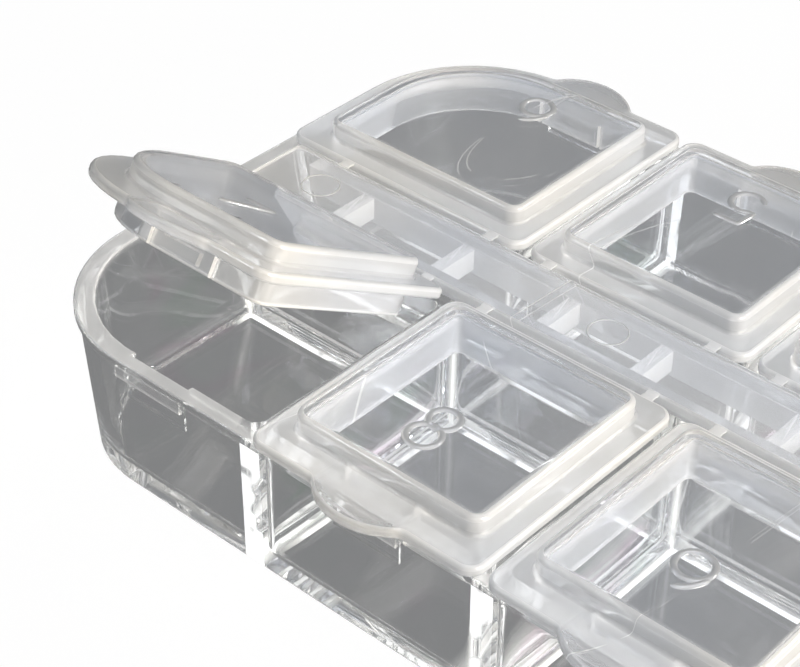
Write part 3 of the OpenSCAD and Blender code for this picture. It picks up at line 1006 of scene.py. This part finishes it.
# %% Camera
camera_data = bpy.data.cameras.new("camera")
camera_data.lens, camera_data.sensor_width = 96.474, 36.0
camera_data.clip_start, camera_data.clip_end = 0.005, 20.0
camera = bpy.data.objects.new("camera", camera_data)
bpy.context.scene.collection.objects.link(camera)
RIGHT = np.array([0.74941489, 0.66180849, 0.01966849])
DOWN = np.array([0.40963969, -0.44011802, -0.7990566])
AHEAD = np.array([-0.52016598, 0.60688191, -0.60093402])
turn = np.eye(4)
turn[:3, 0], turn[:3, 1], turn[:3, 2] = RIGHT, -DOWN, -AHEAD
turn[:3, 3] = np.array([38.571, -102.064, 103.307]) * MM
camera.matrix_world = Matrix(turn.tolist())
bpy.context.scene.camera = camera
print("camera lens", camera_data.lens)

# %% [markdown]
# The floor is pale. Seen straight by the camera it reads as a white sweep, with a little of its
# own shading left so that the box keeps its shadow. The photograph shows mid grey in and through
# the clear plastic, so a ray that the plastic has mirrored or let through finds the floor mid grey
# instead of white. A glass that should show the white sweep would need the white for those too.


# %% Floor
def floor_material():
    m = Material("pale_floor")
    path = m.node("ShaderNodeLightPath")
    through = (m.out(path, "Is Transmission Ray") + m.out(path, "Is Glossy Ray")).clamp()
    own = m.out(m.node("ShaderNodeBsdfDiffuse", {}, {"Color": (0.6, 0.6, 0.6)}))
    white = m.out(m.node("ShaderNodeEmission", {}, {"Color": (1, 1, 1), "Strength": 1.025}))
    grey = m.out(m.node("ShaderNodeEmission", {}, {"Color": (0.225, 0.228, 0.23), "Strength": 1.0}))
    surface = m.blend(m.out(path, "Is Camera Ray") * 0.94, own, white)
    return m.finish(m.blend(through, surface, grey))


floor_mesh = bpy.data.meshes.new("floor")
floor_mesh.from_pydata([(-2, -2, -0.00015), (2, -2, -0.00015), (2, 2, -0.00015), (-2, 2, -0.00015)],
                       [], [(0, 1, 2, 3)])
floor = bpy.data.objects.new("floor", floor_mesh)
floor_mesh.materials.append(floor_material())
bpy.context.scene.collection.objects.link(floor)

# %% [markdown]
# Clear plastic is lit best by soft boxes, whose reflections draw its edges. One hangs above, and a
# warmer one stands low at the right and brightens the skirts. Two small lamps add finer glints.
# The world fills the shadows at a low level, and is at full strength only where the camera sees it.


# %% Lamps and world
def softbox(name, place, size, watts, colour):
    """Square area lamp at place, turned to face the origin."""
    data = bpy.data.lights.new(name, "AREA")
    data.shape, data.size, data.size_y = "RECTANGLE", size[0], size[1]
    data.energy, data.color = watts, colour
    lamp = bpy.data.objects.new(name, data)
    bpy.context.scene.collection.objects.link(lamp)
    aim = np.array(place) / np.linalg.norm(place)
    side = np.cross([0, 0, 1], aim)
    side /= np.linalg.norm(side)
    m = np.eye(4)
    m[:3, 0], m[:3, 1], m[:3, 2], m[:3, 3] = side, np.cross(aim, side), aim, place
    lamp.matrix_world = Matrix(m.tolist())


softbox("top_softbox", (0.0, 0.05, 0.75), (0.5, 0.4), 0.9, (0.97, 0.985, 1.0))
softbox("right_softbox", (0.42, -0.03, 0.19), (0.22, 0.2), 2.35, (1.0, 0.94, 0.85))
softbox("back_right_lamp", (0.52, 0.55, 0.45), (0.1, 0.1), 1.6, (1.0, 0.985, 0.96))
softbox("front_left_lamp", (-0.5, -0.56, 0.56), (0.1, 0.1), 0.8, (0.93, 0.96, 1.0))

scene = bpy.context.scene
world = bpy.data.worlds.new("studio")
world.use_nodes = True
world.node_tree.nodes.clear()
tree = world.node_tree
path = tree.nodes.new("ShaderNodeLightPath")
strength = tree.nodes.new("ShaderNodeMix")
strength.inputs[2].default_value, strength.inputs[3].default_value = 0.27, 1.0
background = tree.nodes.new("ShaderNodeBackground")
background.inputs["Color"].default_value = (0.93, 0.965, 1, 1)
output = tree.nodes.new("ShaderNodeOutputWorld")
tree.links.new(path.outputs["Is Camera Ray"], strength.inputs[0])
tree.links.new(strength.outputs[0], background.inputs["Strength"])
tree.links.new(background.outputs[0], output.inputs[0])
scene.world = world
scene.view_settings.view_transform = "Standard"
scene.cycles.max_bounces = 48
scene.cycles.transmission_bounces = 32
scene.cycles.glossy_bounces = 32
scene.cycles.transparent_max_bounces = 32
